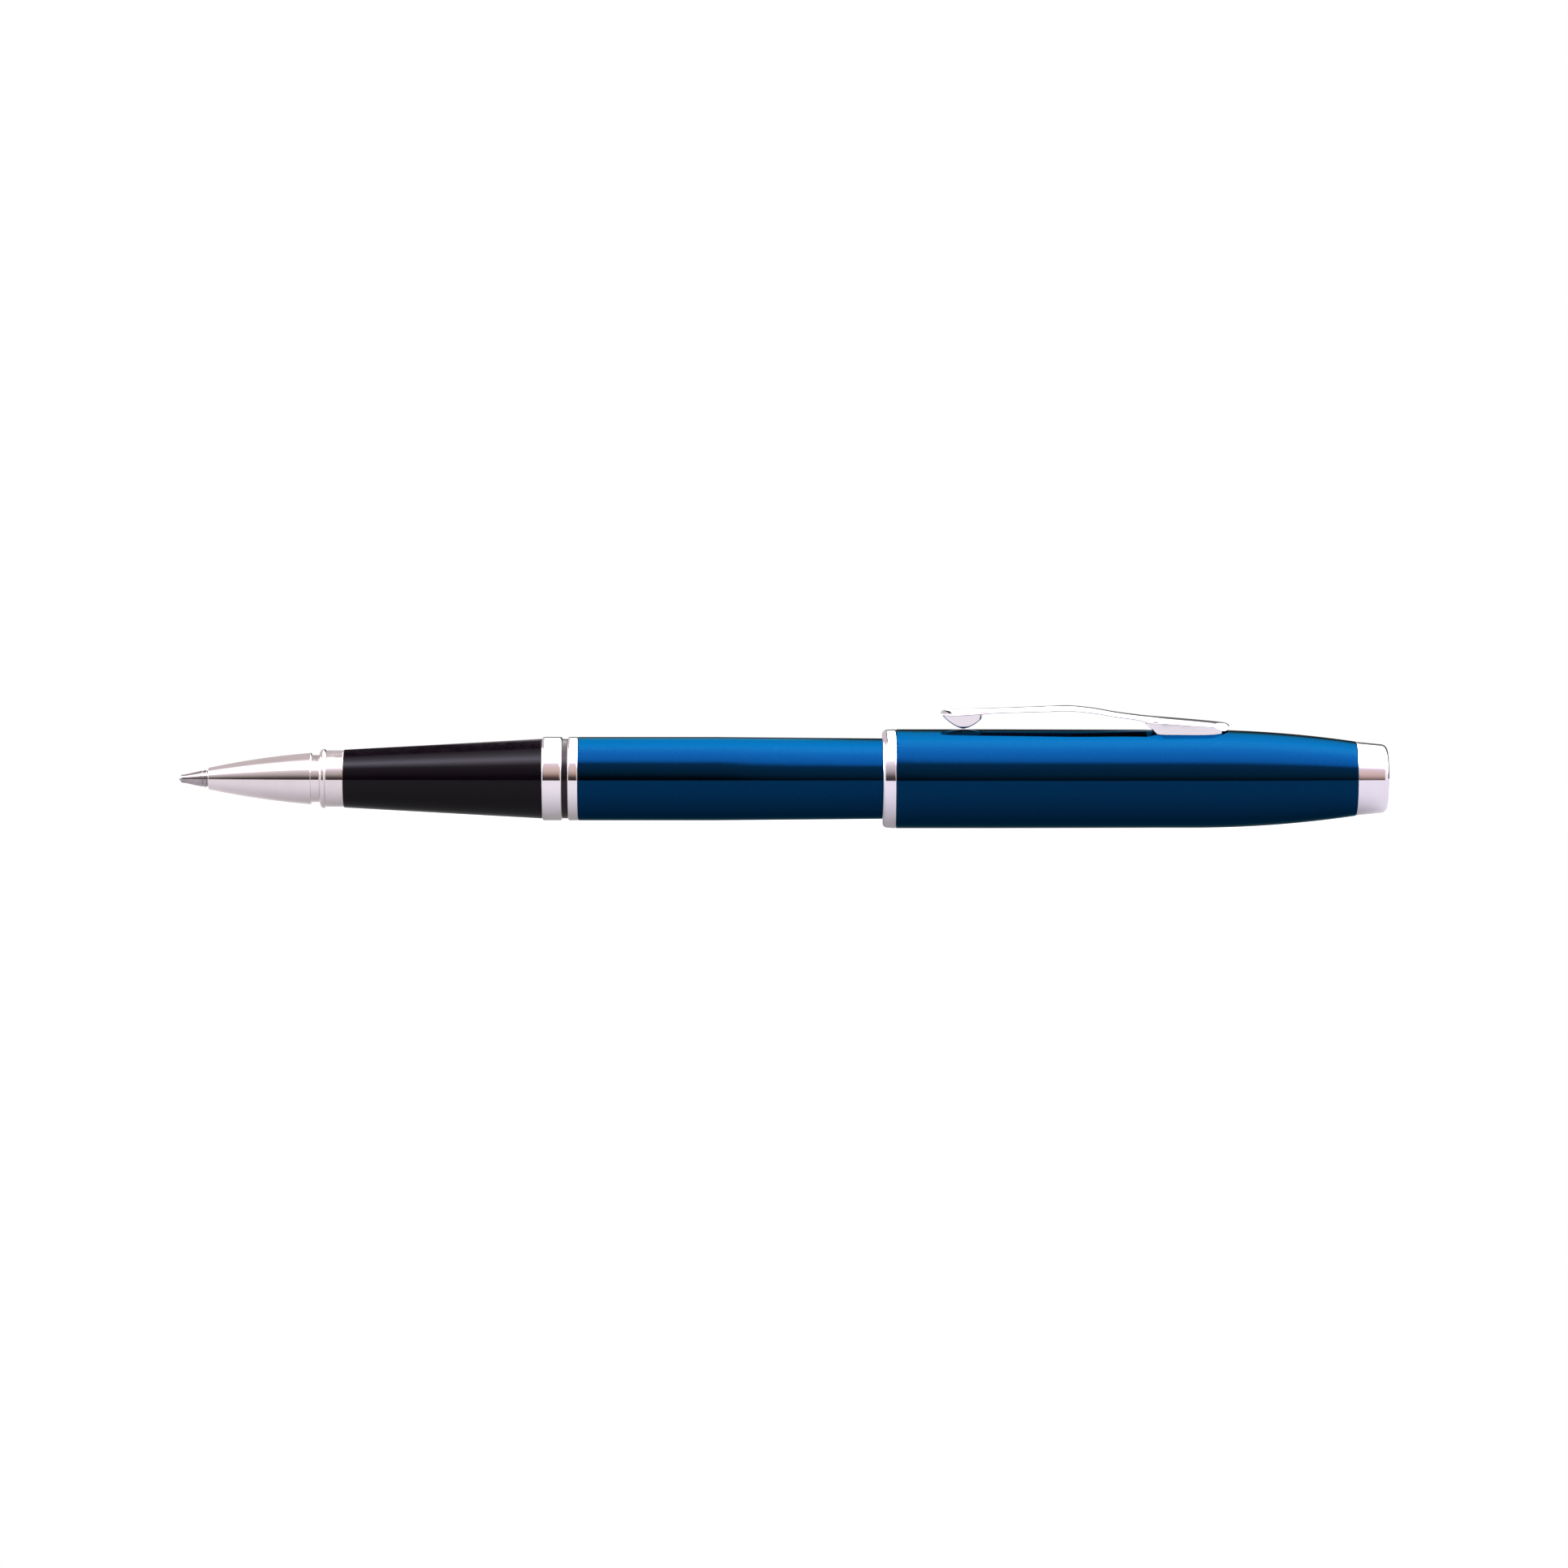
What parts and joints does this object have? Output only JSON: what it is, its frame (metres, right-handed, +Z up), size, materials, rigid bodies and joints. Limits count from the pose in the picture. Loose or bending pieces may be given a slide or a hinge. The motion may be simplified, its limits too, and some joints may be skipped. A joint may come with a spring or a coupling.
{
  "type": "rollerball pen with posted cap",
  "caption": "Slim metal rollerball pen, screw-together body with a refill inside and a clip cap posted on its rear end",
  "frame": {"origin": "centre of the pen's length and width, at the lowest point of the cap", "axes": "+X along the pen from the writing point to the cap's end, +Z up through the clip, +Y across"},
  "size_m": [0.1488, 0.0122, 0.0152],
  "materials": {
    "chrome": "mirror",
    "blue_lacquer": "gloss",
    "black_resin": "gloss",
    "black_rubber": "satin",
    "brass": "satin",
    "steel": "satin",
    "carbide": "polished",
    "clear_resin": "satin",
    "white_resin": "satin",
    "ink_fibre": "matte"
  },
  "bodies": {
    "barrel": {"barrel_tube": "blue_lacquer", "barrel_ring": "chrome", "barrel_bush": "brass", "barrel_end_plug": "chrome", "refill_spring": "steel"},
    "gasket": {"section_gasket": "black_rubber"},
    "section": {"grip": "black_resin", "nose_cone": "chrome", "front_collar": "chrome", "section_bush": "brass", "section_ring": "chrome"},
    "refill": {"point_socket": "steel", "point_holder": "clear_resin", "ink_feed": "ink_fibre", "ink_tube": "steel", "ink_filler": "ink_fibre", "refill_plug": "white_resin"},
    "ball": {"writing_ball": "carbide"},
    "cap": {"cap_tube": "blue_lacquer", "cap_lip_ring": "chrome", "cap_snap_ring": "steel", "cap_friction_sleeve": "black_resin", "inner_cap": "white_resin", "cap_end_bush": "brass", "finial_screw": "steel", "cap_finial": "chrome", "clip_spring": "steel"},
    "clip": {"clip": "chrome", "clip_keeper_pin": "steel"}
  },
  "joints": [
    {"name": "section_advance", "type": "slide", "parent": "barrel", "child": "gasket", "axis": [-1, 0, 0], "range_m": [0, 0.006]},
    {"name": "section_unscrew", "type": "hinge", "parent": "gasket", "child": "section", "pos_m": [-0.027, 0, 0.0061], "axis": [-1, 0, 0], "range_deg": [0, 2160]},
    {"name": "refill_give", "type": "slide", "parent": "section", "child": "refill", "axis": [1, 0, 0], "range_m": [0, 0.0008], "stiffness_N_per_m": 400, "springref_m": -0.002, "deforming": ["refill_spring"]},
    {"name": "ball_roll", "type": "hinge", "parent": "refill", "child": "ball", "pos_m": [-0.07405, 0, 0.0061], "axis": [0, 1, 0], "continuous": true},
    {"name": "cap_pull", "type": "slide", "parent": "barrel", "child": "cap", "axis": [1, 0, 0], "range_m": [0, 0.032]},
    {"name": "clip_lift", "type": "hinge", "parent": "cap", "child": "clip", "pos_m": [0.0549, 0, 0.01215], "axis": [0, 1, 0], "range_deg": [0, 4], "stiffness_Nm_per_rad": 2, "springref_deg": -2.86, "deforming": ["clip_spring"]}
  ],
  "couplings": [
    {"joint": "section_advance", "follows": "section_unscrew", "m_per_rad": 0.00015915}
  ]
}
